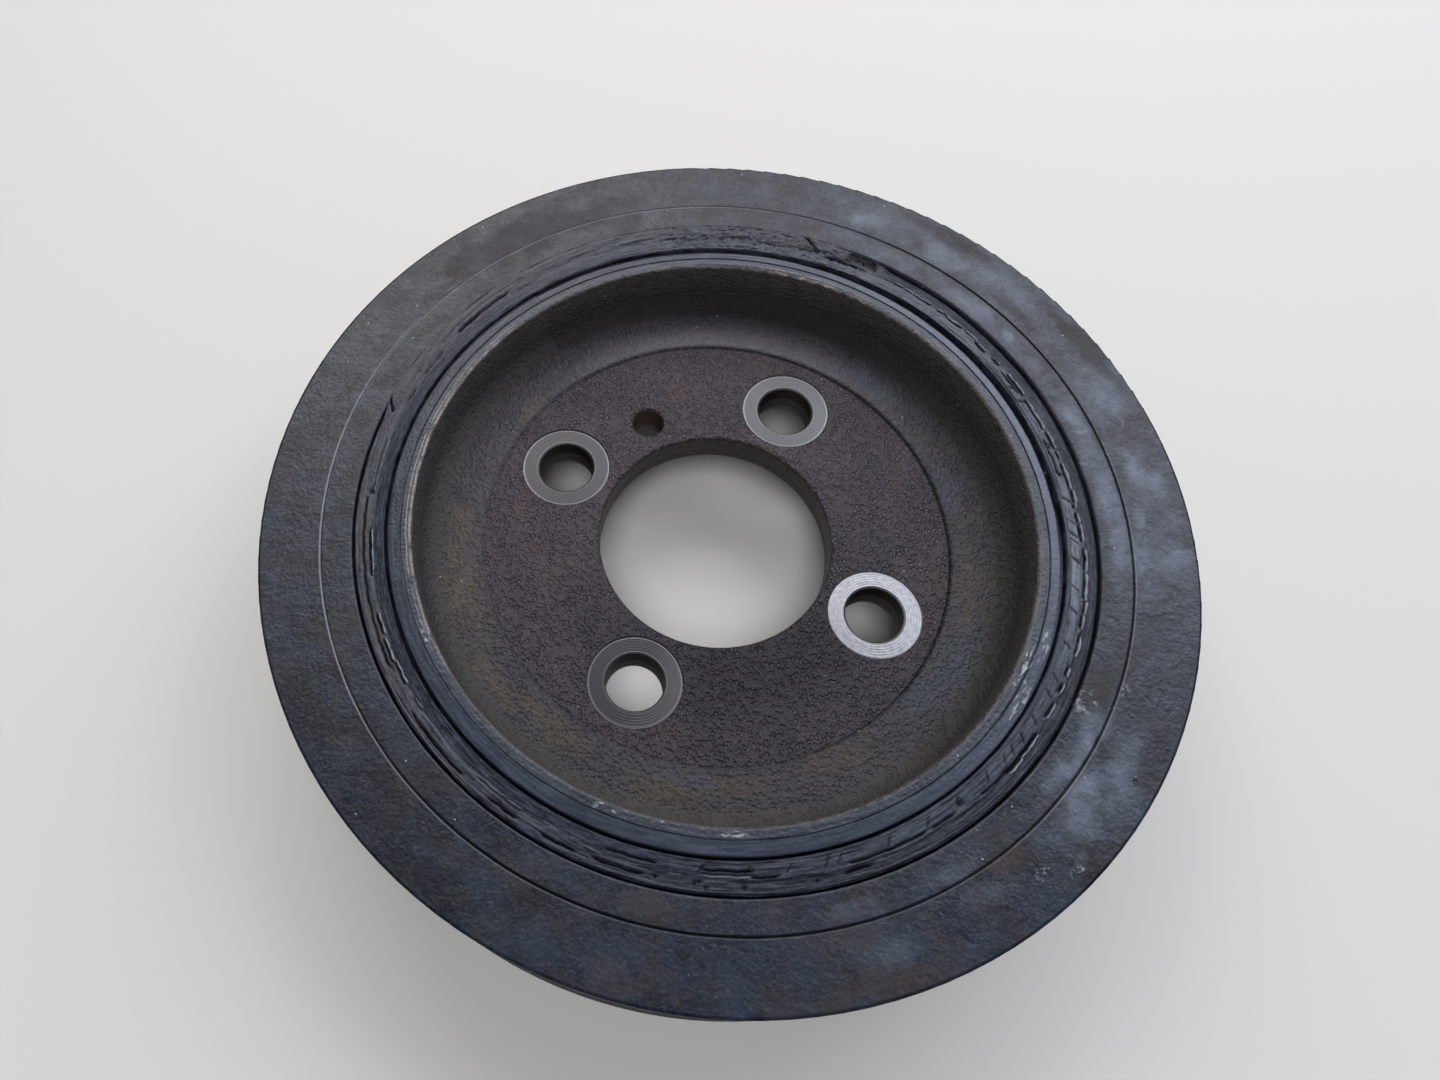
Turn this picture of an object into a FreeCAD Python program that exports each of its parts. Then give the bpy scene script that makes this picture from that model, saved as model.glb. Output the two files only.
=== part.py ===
import FreeCAD, Part
import math
import os

from FreeCAD import Vector

# A crankshaft belt pulley with a rubber damper, in millimetres. The axis is Z. The pulley lies on
# its rear face at z = 0, and the dished front looks up. Three pieces are pressed into one another:
# a cast hub, a rubber damping ring round it, and a heavy grooved ring round the rubber.

# Whole pulley, 165 mm across
pulley_width = 34.0

# Hub rim, which carries the rubber
hub_rim_d = 119.5
hub_rim_wall = 4.45
hub_rim_setback = 2.0
hub_edge_round = 0.5
lip_round = 0.7
lip_line_inset = 2.4
lip_line_width = 0.4
lip_line_depth = 0.15
lip_slope_drop = 0.5

# Dished web of the hub
dish_depth = 10.9
dish_draft = 0.7
dish_fillet = 4.0
web_thickness = 7.0
cast_disc_d = 87.2
cast_disc_drop = 0.5
cast_disc_edge_run = 0.5
mounting_pad_d = 82.0
mounting_pad_height = 0.8
pad_edge_round = 0.4
rear_fillet = 4.0

# Holes in the web
centre_bore_d = 43.5
bore_edge_round = 0.8
bolt_count = 4
bolt_circle_d = 64.5
first_bolt_angle = 60.0
bolt_hole_d = 10.5
bolt_hole_chamfer = 0.4
bolt_seat_d = 17.0
bolt_seat_depth = 0.25
locating_hole_d = 6.2
locating_hole_radius = 28.2
locating_hole_angle_from_bolt = 54.0
locating_hole_chamfer = 0.3

# Rubber damping ring, between the hub rim and the grooved ring
rubber_thickness = 6.15
rubber_front_sink = 0.3
rubber_rear_sink = 4.0
rubber_rear_hollow = 1.2
channel_depth = 2.6
inner_channel = 0.45
outer_channel = 0.4
bead_round = 0.3

# Torn skin on the front of the rubber
torn_strip_width = 2.9
torn_step = 0.6
tear_amplitude = 0.28
tear_waves = ((7, 0.4, 0.35), (19, 1.7, 0.5), (31, 2.9, 0.6))
tear_points = 96

# Wave in the rubber's walls, which keeps the ring from walking along the hub
wave_height = 1.2
wave_length = 14.0
wave_round = 5.0

# Grooved ring
ring_wall = 16.6
ring_edge_round = 0.5
ring_bore_round = 0.4
front_flange = 3.4
flange_height = 1.2
flange_slope = 0.5
track_land = 2.2
rib_pitch = 3.56
groove_count = 6
groove_depth = 2.8
groove_angle = 40.0
rib_tip_width = 0.75
scribed_line_inset = 5.5
scribed_line_width = 0.4
scribed_line_depth = 0.14

# Points closer than this are one point
touching = 1e-6

# Radii and heights that follow from the sizes above
hub_rim_r = hub_rim_d / 2
lip_inner_r = hub_rim_r - hub_rim_wall
ring_bore_r = hub_rim_r + rubber_thickness
outer_r = ring_bore_r + ring_wall
track_r = outer_r - flange_height
centre_bore_r = centre_bore_d / 2
cast_disc_r = cast_disc_d / 2
dish_floor_z = pulley_width - dish_depth
cast_disc_z = dish_floor_z - cast_disc_drop
pad_z = cast_disc_z - web_thickness
web_rear_z = pad_z + mounting_pad_height
channel_floor_z = pulley_width - rubber_front_sink - channel_depth
rubber_rear_z = rubber_rear_sink
wave_middle_z = (rubber_rear_z + channel_floor_z) / 2


def section_point(corner):
    """Place a corner, given as radius and height, in the XZ plane."""
    return Vector(corner[0], 0, corner[1])


def rounded_corner(before, corner, after):
    """Return the start, middle and end of the arc that rounds a corner, or the bare corner."""
    tip = section_point(corner)
    if corner[2] == 0:
        return [tip]
    back = (section_point(before) - tip).normalize()
    ahead = (section_point(after) - tip).normalize()
    half_angle = back.getAngle(ahead) / 2
    reach = corner[2] / math.tan(half_angle)
    bisector = (back + ahead).normalize()
    to_middle = corner[2] / math.sin(half_angle) - corner[2]
    return [tip + back * reach, tip + bisector * to_middle, tip + ahead * reach]


def section_face(corners):
    """Make a face from corners of (radius, height, rounding), in order round the section."""
    count = len(corners)
    rounded = []
    for index, corner in enumerate(corners):
        before = corners[index - 1]
        after = corners[(index + 1) % count]
        rounded.append(rounded_corner(before, corner, after))
    edges = []
    for index, points in enumerate(rounded):
        if len(points) == 3:
            edges.append(Part.Arc(*points).toShape())
        following = rounded[(index + 1) % count]
        if (following[0] - points[-1]).Length > touching:
            edges.append(Part.LineSegment(points[-1], following[0]).toShape())
    return Part.Face(Part.Wire(edges))


def turned(corners):
    """Turn a section round the axis into a solid."""
    return section_face(corners).revolve(Vector(0, 0, 0), Vector(0, 0, 1), 360)


def scratched_line(radius, height, width, depth):
    """Corners of a fine V line in a top face, from the outside inwards."""
    return [
        (radius + width / 2, height, 0),
        (radius, height - depth, 0),
        (radius - width / 2, height, 0),
    ]


def waved_wall(radius):
    """Corners of the outward wave in a rubber wall of the given radius, going up."""
    return [
        (radius, wave_middle_z - wave_length / 2, wave_round),
        (radius + wave_height, wave_middle_z, wave_round),
        (radius, wave_middle_z + wave_length / 2, wave_round),
    ]


def polar(radius, angle, height):
    """A point from its radius, its angle in degrees from +X, and its height."""
    turn = math.radians(angle)
    return Vector(radius * math.cos(turn), radius * math.sin(turn), height)


def upright_cylinder(diameter, place, length):
    """A cylinder that stands on a point."""
    return Part.makeCylinder(diameter / 2, length, place, Vector(0, 0, 1))


def hole_chamfer(diameter, chamfer, place):
    """The cone that breaks the edge of a hole whose mouth is centred on a point."""
    foot = place - Vector(0, 0, chamfer)
    return Part.makeCone(diameter / 2, diameter / 2 + chamfer, chamfer, foot, Vector(0, 0, 1))


def bolt_cut(angle):
    """Bolt hole with its broken edge and the spot face that the bolt head sits on."""
    through = upright_cylinder(bolt_hole_d, polar(bolt_circle_d / 2, angle, 0), pulley_width)
    seat_z = cast_disc_z - bolt_seat_depth
    seat = polar(bolt_circle_d / 2, angle, seat_z)
    spot_face = upright_cylinder(bolt_seat_d, seat, pulley_width)
    return [through, spot_face, hole_chamfer(bolt_hole_d, bolt_hole_chamfer, seat)]


def locating_cut():
    """Hole for the pin that sets the pulley's position on the crankshaft."""
    angle = first_bolt_angle + locating_hole_angle_from_bolt
    through = upright_cylinder(locating_hole_d, polar(locating_hole_radius, angle, 0), pulley_width)
    mouth = polar(locating_hole_radius, angle, cast_disc_z)
    return [through, hole_chamfer(locating_hole_d, locating_hole_chamfer, mouth)]


def hub():
    """Cast iron hub: a rim round a dished web, which is flat and machined where it is bolted on."""
    pad_r = mounting_pad_d / 2
    wall_foot_r = lip_inner_r - dish_draft
    lip_line_r = hub_rim_r - lip_line_inset
    section = [
        (centre_bore_r, pad_z, bore_edge_round),
        (pad_r, pad_z, pad_edge_round),
        (pad_r, web_rear_z, 0),
        (wall_foot_r, web_rear_z, rear_fillet),
        (lip_inner_r, hub_rim_setback, hub_edge_round),
        (hub_rim_r, hub_rim_setback, hub_edge_round),
        *waved_wall(hub_rim_r),
        (hub_rim_r, pulley_width - lip_slope_drop, hub_edge_round),
        *scratched_line(lip_line_r, pulley_width, lip_line_width, lip_line_depth),
        (lip_inner_r, pulley_width, lip_round),
        (wall_foot_r, dish_floor_z, dish_fillet),
        (cast_disc_r + cast_disc_edge_run, dish_floor_z, 0),
        (cast_disc_r, cast_disc_z, 0),
        (centre_bore_r, cast_disc_z, bore_edge_round),
    ]
    cuts = locating_cut()
    for number in range(bolt_count):
        cuts += bolt_cut(first_bolt_angle + number * 360 / bolt_count)
    return turned(section).cut(cuts)


def tear_radius(turn):
    """Radius of the torn edge at an angle in radians: a mean radius and three waves."""
    ragged = sum(share * math.sin(count * turn + phase) for count, phase, share in tear_waves)
    return hub_rim_r + inner_channel + torn_strip_width + tear_amplitude * ragged


def torn_away():
    """The skin that is missing outside the torn edge, down to the step."""
    step_z = pulley_width - rubber_front_sink - torn_step
    points = []
    for index in range(tear_points):
        turn = 2 * math.pi * index / tear_points
        radius = tear_radius(turn)
        points.append(Vector(radius * math.cos(turn), radius * math.sin(turn), step_z))
    edge = Part.BSplineCurve()
    edge.interpolate(points, PeriodicFlag=True)
    inside = Part.Face(Part.Wire([edge.toShape()]))
    outside = Part.Face(Part.Wire([Part.makeCircle(ring_bore_r, Vector(0, 0, step_z))]))
    return outside.cut(inside).extrude(Vector(0, 0, pulley_width))


def damping_ring():
    """Rubber ring with a narrow channel at each wall, a torn front skin and a hollow rear face."""
    top_z = pulley_width - rubber_front_sink
    middle_r = (hub_rim_r + ring_bore_r) / 2
    section = [
        *waved_wall(hub_rim_r),
        (hub_rim_r, channel_floor_z, 0),
        (hub_rim_r + inner_channel, channel_floor_z, bead_round),
        (hub_rim_r + inner_channel, top_z, bead_round),
        (ring_bore_r - outer_channel, top_z, bead_round),
        (ring_bore_r - outer_channel, channel_floor_z, bead_round),
        (ring_bore_r, channel_floor_z, 0),
        *reversed(waved_wall(ring_bore_r)),
        (ring_bore_r, rubber_rear_z, 0),
        (middle_r, rubber_rear_z + rubber_rear_hollow, rubber_thickness / 2),
        (hub_rim_r, rubber_rear_z, 0),
    ]
    return turned(section).cut(torn_away())


def belt_grooves():
    """Corners of the V grooves, from the rear of the belt track to its front."""
    half_mouth = (rib_pitch - rib_tip_width) / 2
    half_floor = half_mouth - groove_depth * math.tan(math.radians(groove_angle / 2))
    floor_r = track_r - groove_depth
    first_z = belt_track_rear_z() + track_land + half_mouth
    corners = []
    for number in range(groove_count):
        middle_z = first_z + number * rib_pitch
        corners += [
            (track_r, middle_z - half_mouth, 0),
            (floor_r, middle_z - half_floor, 0),
            (floor_r, middle_z + half_floor, 0),
            (track_r, middle_z + half_mouth, 0),
        ]
    return corners


def belt_track_width():
    """Width of the belt track: the grooves with a flat land at each side."""
    return groove_count * rib_pitch - rib_tip_width + 2 * track_land


def belt_track_rear_z():
    """Height of the rear end of the belt track, which lies just behind the front flange."""
    return pulley_width - front_flange - flange_slope - belt_track_width()


def pulley_ring():
    """Heavy cast iron ring: belt grooves round it, a flange at each side and a scribed face."""
    track_rear_z = belt_track_rear_z()
    track_front_z = track_rear_z + belt_track_width()
    scribed_line_r = ring_bore_r + scribed_line_inset
    section = [
        (ring_bore_r, 0, ring_bore_round),
        (outer_r, 0, ring_edge_round),
        (outer_r, track_rear_z - flange_slope, 0),
        (track_r, track_rear_z, 0),
        *belt_grooves(),
        (track_r, track_front_z, 0),
        (outer_r, track_front_z + flange_slope, 0),
        (outer_r, pulley_width, ring_edge_round),
        *scratched_line(scribed_line_r, pulley_width, scribed_line_width, scribed_line_depth),
        (ring_bore_r, pulley_width, ring_bore_round),
        *reversed(waved_wall(ring_bore_r)),
    ]
    return turned(section)


def main():
    os.makedirs("parts", exist_ok=True)
    pieces = {"hub": hub(), "damping_ring": damping_ring(), "pulley_ring": pulley_ring()}
    for name, shape in pieces.items():
        shape.exportStep("parts/" + name + ".step")


main()
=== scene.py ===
import math

import bpy
import numpy as np
from mathutils import Matrix, Vector


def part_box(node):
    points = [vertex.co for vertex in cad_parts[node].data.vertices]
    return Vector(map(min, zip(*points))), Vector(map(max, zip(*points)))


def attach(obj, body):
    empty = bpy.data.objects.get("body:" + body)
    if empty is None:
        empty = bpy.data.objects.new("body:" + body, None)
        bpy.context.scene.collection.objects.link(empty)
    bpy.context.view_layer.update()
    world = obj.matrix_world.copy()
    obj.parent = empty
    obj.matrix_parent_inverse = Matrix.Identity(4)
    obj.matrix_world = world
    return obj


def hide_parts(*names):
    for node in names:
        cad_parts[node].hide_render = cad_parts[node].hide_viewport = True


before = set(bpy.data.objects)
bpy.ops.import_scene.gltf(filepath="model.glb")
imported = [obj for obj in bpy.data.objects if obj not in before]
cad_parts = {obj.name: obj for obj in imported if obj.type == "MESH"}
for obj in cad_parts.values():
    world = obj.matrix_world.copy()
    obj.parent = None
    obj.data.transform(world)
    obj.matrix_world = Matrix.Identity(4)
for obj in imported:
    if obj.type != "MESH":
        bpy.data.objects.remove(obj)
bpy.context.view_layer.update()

# Blender's lengths are metres, and the sizes below are written in millimetres. Angles are in degrees
# from +X, which points right in the photograph, turning towards +Y, which points up in it.
MM = 0.001

# Where the photograph was taken from: eye point, and the way the camera heads, dips and rolls
EYE = (-22.7 * MM, -82.65 * MM, 194.86 * MM)
HEADING = math.radians(1.255)
DIP = math.radians(64.35)
ROLL = math.radians(-2.39)
LENS = 25.275
SENSOR = 36.0
SHIFT_X = 0.09375

# Sizes of the pulley that the finishes and the torn rubber follow
TOP_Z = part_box("pulley_ring")[1].z / MM
OUTER_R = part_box("pulley_ring")[1].x / MM
RING_WALL = 16.6
RING_BORE_R = OUTER_R - RING_WALL
RUBBER_WALL = 6.15
HUB_RIM_R = RING_BORE_R - RUBBER_WALL
LIP_WALL = 4.45
LIP_INNER_R = HUB_RIM_R - LIP_WALL
LIP_LINE_R = HUB_RIM_R - 2.4
SCRIBED_R = RING_BORE_R + 5.5
DISC_R = 43.6
WALL_FOOT_R = 51.5
FRONT_Z = 19.0
WEB_REAR_Z = 16.4
PAD_R = 41.0
BORE_R = 21.75
BOLT_CIRCLE_R = 32.25
BOLT_TURN = 60.0
BOLT_HOLE_R = 5.25
BOLT_SEAT_R = 8.5
LOCATING_TURN = 114.0
LOCATING_R = 28.2
LOCATING_HOLE_R = 3.1
GROOVE_FLOOR_R = 78.5
TRACK_R = 77.0
TRACK_Z = (3.7, 30.1)

# Rubber: its front with a channel each side, its rear and its waved walls, the radius of its tear, and
# the stretch of the turn where dirt fills the gap at the ring
RUBBER_SINK = 0.3
CHANNEL_DEPTH = 2.6
INNER_CHANNEL = 0.45
OUTER_CHANNEL = 0.4
BEAD = 0.3
RUBBER_REAR_Z = 4.0
REAR_HOLLOW = 1.2
WAVE_HEIGHT = 1.2
WAVE_LENGTH = 14.0
TEAR_R = 63.0
FILLED = (56.0, 159.0)


def linear(code):
    """Turn an sRGB hex colour into linear red, green, blue and alpha."""
    parts = [int(code[i : i + 2], 16) / 255 for i in (1, 3, 5)]
    bright = [c / 12.92 if c <= 0.04045 else ((c + 0.055) / 1.055) ** 2.4 for c in parts]
    return (*bright, 1.0)


def add(tree, kind, inputs=(), output=None, **settings):
    """Add a node, apply its settings, fill or link its inputs, and return one of its outputs."""
    node = tree.nodes.new(kind)
    for name, value in settings.items():
        setattr(node, name, value)
    for key, value in dict(inputs).items():
        named = [s for s in node.inputs if s.enabled and s.name == key]
        socket = node.inputs[key] if isinstance(key, int) else named[0]
        if isinstance(value, bpy.types.NodeSocket):
            tree.links.new(value, socket)
        else:
            socket.default_value = value
    if output:
        return node.outputs[output]
    return next(s for s in node.outputs if s.enabled)


def new_finish(name):
    """A material with an empty node tree."""
    material = bpy.data.materials.new(name)
    material.use_nodes = True
    material.node_tree.nodes.clear()
    return material, material.node_tree


def shade(tree, inputs):
    """Close a material with its surface shader and output."""
    surface = add(tree, "ShaderNodeBsdfPrincipled", inputs)
    closing = tree.nodes.new("ShaderNodeOutputMaterial")
    tree.links.new(surface, closing.inputs["Surface"])


def coordinates(tree):
    """Place on the pulley in millimetres, the same without height, radius, and height."""
    metres = add(tree, "ShaderNodeTexCoord", output="Object")
    place = add(tree, "ShaderNodeVectorMath", {0: metres, "Scale": 1 / MM}, operation="SCALE")
    flat = add(tree, "ShaderNodeVectorMath", {0: place, 1: (1, 1, 0)}, operation="MULTIPLY")
    radius = add(tree, "ShaderNodeVectorMath", {0: flat}, "Value", operation="LENGTH")
    height = add(tree, "ShaderNodeSeparateXYZ", {0: place}, "Z")
    return place, flat, radius, height


def drifted(tree, place, grain, reach):
    """Place shifted by noise, so that what is drawn on it gets ragged edges."""
    noise = add(tree, "ShaderNodeTexNoise", {"Vector": place, "Scale": 1 / grain, "Detail": 2}, "Color")
    centred = add(tree, "ShaderNodeVectorMath", {0: noise, 1: (0.5, 0.5, 0.5)}, operation="SUBTRACT")
    scaled = add(tree, "ShaderNodeVectorMath", {0: centred, "Scale": reach}, operation="SCALE")
    return add(tree, "ShaderNodeVectorMath", {0: place, 1: scaled}, operation="ADD")


def unrolled(tree, flat, seam, mean_r):
    """Arc length at a mean radius, and radius, in one vector. The turn is cut open at a seam angle."""
    about = {"Vector": flat, "Angle": math.radians(180 - seam)}
    turned = add(tree, "ShaderNodeVectorRotate", about, rotation_type="Z_AXIS")
    right = add(tree, "ShaderNodeSeparateXYZ", {0: turned}, "X")
    up = add(tree, "ShaderNodeSeparateXYZ", {0: turned}, "Y")
    angle = add(tree, "ShaderNodeMath", {0: up, 1: right}, operation="ARCTAN2")
    along = add(tree, "ShaderNodeMath", {0: angle, 1: mean_r}, operation="MULTIPLY")
    radius = add(tree, "ShaderNodeVectorMath", {0: turned}, "Value", operation="LENGTH")
    return add(tree, "ShaderNodeCombineXYZ", {"X": along, "Y": radius})


def stains(tree, strip, seam, mean_r, aspect, rows, soft, frayed):
    """Mask of curved stains on an unrolled strip: each row is an angle, a radius and a half width.

    They are longer than wide by one aspect. Their distances, each 1 on its own edge, join by a smooth
    minimum, and noise frays the edge."""
    shorter = {0: strip, 1: (1 / aspect, 1, 0)}
    strip = add(tree, "ShaderNodeVectorMath", shorter, operation="MULTIPLY")
    nearest = 9.0
    for angle, radius, half_width in rows:
        along = math.radians((angle + 360 - seam) % 360 - 180) * mean_r
        ends = {0: strip, 1: (along / aspect, radius, 0)}
        away = add(tree, "ShaderNodeVectorMath", ends, "Value", operation="DISTANCE")
        distance = add(tree, "ShaderNodeMath", {0: away, 1: 1 / half_width}, operation="MULTIPLY")
        joined = {0: nearest, 1: distance, 2: 0.3}
        nearest = add(tree, "ShaderNodeMath", joined, operation="SMOOTH_MIN")
    nearest = add(tree, "ShaderNodeMath", {0: nearest, 1: frayed}, operation="ADD")
    window = {"Value": nearest, "From Min": 1 + soft, "From Max": 1 - soft}
    return add(tree, "ShaderNodeMapRange", window, interpolation_type="SMOOTHSTEP")


def round_the_turn(tree, strip, seam, mean_r, stops):
    """Value that changes along an unrolled strip, by stops of an angle and a value."""
    along = add(tree, "ShaderNodeSeparateXYZ", {0: strip}, "X")
    half_turn = math.pi * mean_r
    share = add(tree, "ShaderNodeMapRange", {"Value": along, "From Min": -half_turn, "From Max": half_turn})
    value = add(tree, "ShaderNodeValToRGB", {0: share}, "Color")
    ramp_stops = value.node.color_ramp.elements
    ramp_stops.remove(ramp_stops[1])
    ramp_stops[0].position = 0
    ordered = sorted(((angle + 360 - seam) % 360 / 360, level) for angle, level in stops)
    ramp_stops[0].color = (*[ordered[0][1]] * 3, 1)
    for position, level in ordered:
        ramp_stops.new(position).color = (level, level, level, 1)
    return value


def fray(tree, place, grain, reach):
    """Noise of many sizes about zero, to add to a distance."""
    inputs = {"Vector": place, "Scale": 1 / grain, "Detail": 4, "Roughness": 0.62}
    noise = add(tree, "ShaderNodeTexNoise", inputs)
    window = {"Value": noise, "From Min": 0.25, "From Max": 0.75, "To Min": -reach, "To Max": reach}
    return add(tree, "ShaderNodeMapRange", window, clamp=False)


def band(tree, value, low, high, soft):
    """1 between two edges and 0 outside, with soft steps."""
    window = {"Value": value, "From Min": low - soft, "From Max": low + soft}
    over_low = add(tree, "ShaderNodeMapRange", window, interpolation_type="SMOOTHSTEP")
    window = {"Value": value, "From Min": high - soft, "From Max": high + soft}
    over_high = add(tree, "ShaderNodeMapRange", window, interpolation_type="SMOOTHSTEP")
    return add(tree, "ShaderNodeMath", {0: over_low, 1: over_high}, operation="SUBTRACT")


def overlap(tree, first, *others):
    """Where all of the masks are 1: their product."""
    for other in others:
        first = add(tree, "ShaderNodeMath", {0: first, 1: other}, operation="MULTIPLY")
    return first


def layered(tree, kind, value, *layers):
    """Lay values over a first one in order. Each layer is a mask, its share, and what it lays."""
    for mask, share, over in layers:
        factor = add(tree, "ShaderNodeMath", {0: mask, 1: share}, operation="MULTIPLY")
        over = linear(over) if isinstance(over, str) else over
        value = add(tree, "ShaderNodeMix", {"Factor": factor, "A": value, "B": over}, data_type=kind)
    return value


def embossed(tree, *layers):
    """Bumps on top of one another. Each layer is a height from 0 to 1 and its depth in millimetres."""
    normal = None
    for height, depth in layers:
        inputs = {"Height": height, "Distance": depth * MM, "Strength": 1.0}
        if normal is not None:
            inputs["Normal"] = normal
        normal = add(tree, "ShaderNodeBump", inputs)
    return normal


def cloud(tree, place, grain, edge, soft, step=0):
    """Mask of noise over an edge, in patches of a given size. A step keeps two from matching."""
    if step:
        place = add(tree, "ShaderNodeVectorMath", {0: place, 1: (step, step, step)}, operation="ADD")
    noise = add(tree, "ShaderNodeTexNoise", {"Vector": place, "Scale": 1 / grain, "Detail": 3})
    window = {"Value": noise, "From Min": edge - soft, "From Max": edge + soft}
    return add(tree, "ShaderNodeMapRange", window, interpolation_type="SMOOTHSTEP")


def specks(tree, place, spacing, share, step=0):
    """Mask of small dots, about one in each cell of a spacing. The share is a dot's half width."""
    if step:
        place = add(tree, "ShaderNodeVectorMath", {0: place, 1: (step, step, step)}, operation="ADD")
    cells = add(tree, "ShaderNodeTexVoronoi", {"Vector": place, "Scale": 1 / spacing}, "Distance")
    window = {"Value": cells, "From Min": share, "From Max": share * 0.5}
    return add(tree, "ShaderNodeMapRange", window)


# Angle at which the ring's face is cut open to unroll it, and the radius that keeps its length
ON_RING = (88, 74.0)
# Grain of the coat, drawn twice as coarse as the real one so that it shows, and of its blisters
COAT_GRAIN = 0.6
COAT_BLISTER = 1.7
# Marks on the ring's face: angle, radius and half width. Bands and the pitted edge are five times as
# long as wide, blots and cores twice, and spots and scuffs one and a half times.
PALE_BANDS = (
    (3, 69, 1.9), (12, 68.8, 1.7), (24, 68.3, 1.3), (41, 68.4, 1.8), (58, 69, 1.5), (354, 69, 1.7),
    (319, 69.2, 1.6), (282, 69.5, 1.2), (296, 70, 1.0),
)
PALE_BLOTS = (
    (3, 76.5, 2.6), (352, 77, 3.6), (17, 76.4, 2.6), (38, 76.2, 3.4), (47, 75, 3.0), (61, 76.5, 3.6),
    (350, 73.5, 2.6), (317, 75.5, 4.2), (298, 74.5, 2.0), (284, 76, 2.2), (326, 71.8, 1.6),
)
PALE_CORES = (
    (4, 75.8, 1.6), (357, 73.4, 1.1), (14, 68.6, 1.0), (32, 68.4, 0.8), (316, 73.6, 1.6),
    (321, 70, 1.0), (309, 79.4, 0.8), (63, 75.4, 1.6),
)
BROWN_BANDS = ((50, 80, 1.8), (26, 79.6, 1.9), (284, 80.2, 1.8), (118, 74, 4.0), (12, 71, 0.8), (36, 74, 1.2))
BROWN_BLOTS = (
    (282, 73, 1.5), (303, 72.4, 1.8), (255, 79.6, 2.0), (330, 68.2, 1.8), (256, 68.5, 1.8),
    (304, 68, 1.6),
)
DARK_BLOTS = (
    (222, 75, 4.6), (232, 79.5, 2.8), (213, 71.6, 2.2), (206, 78.6, 2.4), (246, 72, 2.0),
    (184, 68, 1.6), (172, 68, 1.4), (309, 80.6, 1.8), (325, 80.4, 1.8),
)
RUST_BLOTS = ((302, 72.2, 1.4), (286, 80.6, 1.5), (279, 73.4, 0.9), (262, 80.4, 0.9))
TAR_SPOTS = (
    (13.6, 79.6, 0.5), (12.4, 77.2, 0.3), (11.8, 76.8, 0.25), (58, 81, 0.4), (46, 78.4, 0.3),
    (321, 78.9, 0.4), (156.6, 67.2, 0.45), (69.4, 66.6, 0.5), (345, 77.4, 0.3),
)
PITTED_EDGE = ((322, 80.8, 2.2), (312, 81, 1.8), (300, 81.2, 1.3), (286, 81.2, 1.3), (52, 81, 1.2))
PALE_SCUFFS = ((327, 67.2, 1.4), (331, 72.3, 0.7), (305, 77, 0.8), (308, 80, 0.7))
# How thick the pale films are round the turn: angle, and share from 0 to 1
FILM_DEPTH = ((0, 0.9), (45, 0.8), (70, 0.4), (100, 0.25), (260, 0.3), (300, 0.4), (314, 0.9), (340, 0.9))
# Round the turn: how much painted shade darkens the scribed line's groove, how much painted light lifts that
# shade, and how much painted highlight brightens its outer edge
LINE_SHADE = (
    (0, 0.9), (40, 1.0), (62, 0.7), (84, 0.2), (92, 0.1), (140, 0.15), (150, 0.0), (200, 0.1),
    (212, 0.6), (236, 1.0), (280, 0.9), (300, 0.8), (335, 0.8),
)
LINE_SHADE_LIFT = ((0, 0.0), (50, 0.0), (70, 0.8), (140, 0.9), (155, 0.3), (180, 0.0))
LINE_HIGHLIGHT = (
    (0, 0.3), (40, 0.1), (80, 0.0), (138, 0.0), (146, 0.5), (165, 0.9), (205, 0.9), (232, 0.4),
    (262, 0.15), (300, 0.2), (314, 0.5), (330, 0.4),
)


def dried_fluid(tree, place, ragged, steady, frayed):
    """Mask of the film that fluid left as it dried: bands and blots, thicker at some turns."""
    bands = stains(tree, ragged, *ON_RING, 5, PALE_BANDS, 0.7, frayed)
    blots = stains(tree, ragged, *ON_RING, 2, PALE_BLOTS, 0.7, frayed)
    film = add(tree, "ShaderNodeMath", {0: bands, 1: blots}, operation="MAXIMUM")
    depth = round_the_turn(tree, steady, *ON_RING, FILM_DEPTH)
    return overlap(tree, film, depth, cloud(tree, place, 4, 0.4, 0.3))


def road_dirt(tree, ragged, frayed):
    """Mask of brown dirt on the ring's face: bands and blots."""
    bands = stains(tree, ragged, *ON_RING, 5, BROWN_BANDS, 0.5, frayed)
    blots = stains(tree, ragged, *ON_RING, 2, BROWN_BLOTS, 0.5, frayed)
    return add(tree, "ShaderNodeMath", {0: bands, 1: blots}, operation="MAXIMUM")


def scribed_line(tree, steady, top):
    """Masks of the scribed line: painted shade in its groove, painted light that lifts that shade, and a
    painted highlight on its outer edge.
    """
    out = add(tree, "ShaderNodeSeparateXYZ", {0: steady}, "Y")
    in_line = overlap(tree, band(tree, out, SCRIBED_R - 0.4, SCRIBED_R + 0.12, 0.08), top)
    by_line = overlap(tree, band(tree, out, SCRIBED_R + 0.05, SCRIBED_R + 0.32, 0.1), top)
    groove_shade = overlap(tree, in_line, round_the_turn(tree, steady, *ON_RING, LINE_SHADE))
    lightened = overlap(tree, in_line, round_the_turn(tree, steady, *ON_RING, LINE_SHADE_LIFT))
    painted_highlight = overlap(tree, by_line, round_the_turn(tree, steady, *ON_RING, LINE_HIGHLIGHT))
    return groove_shade, lightened, painted_highlight


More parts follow.
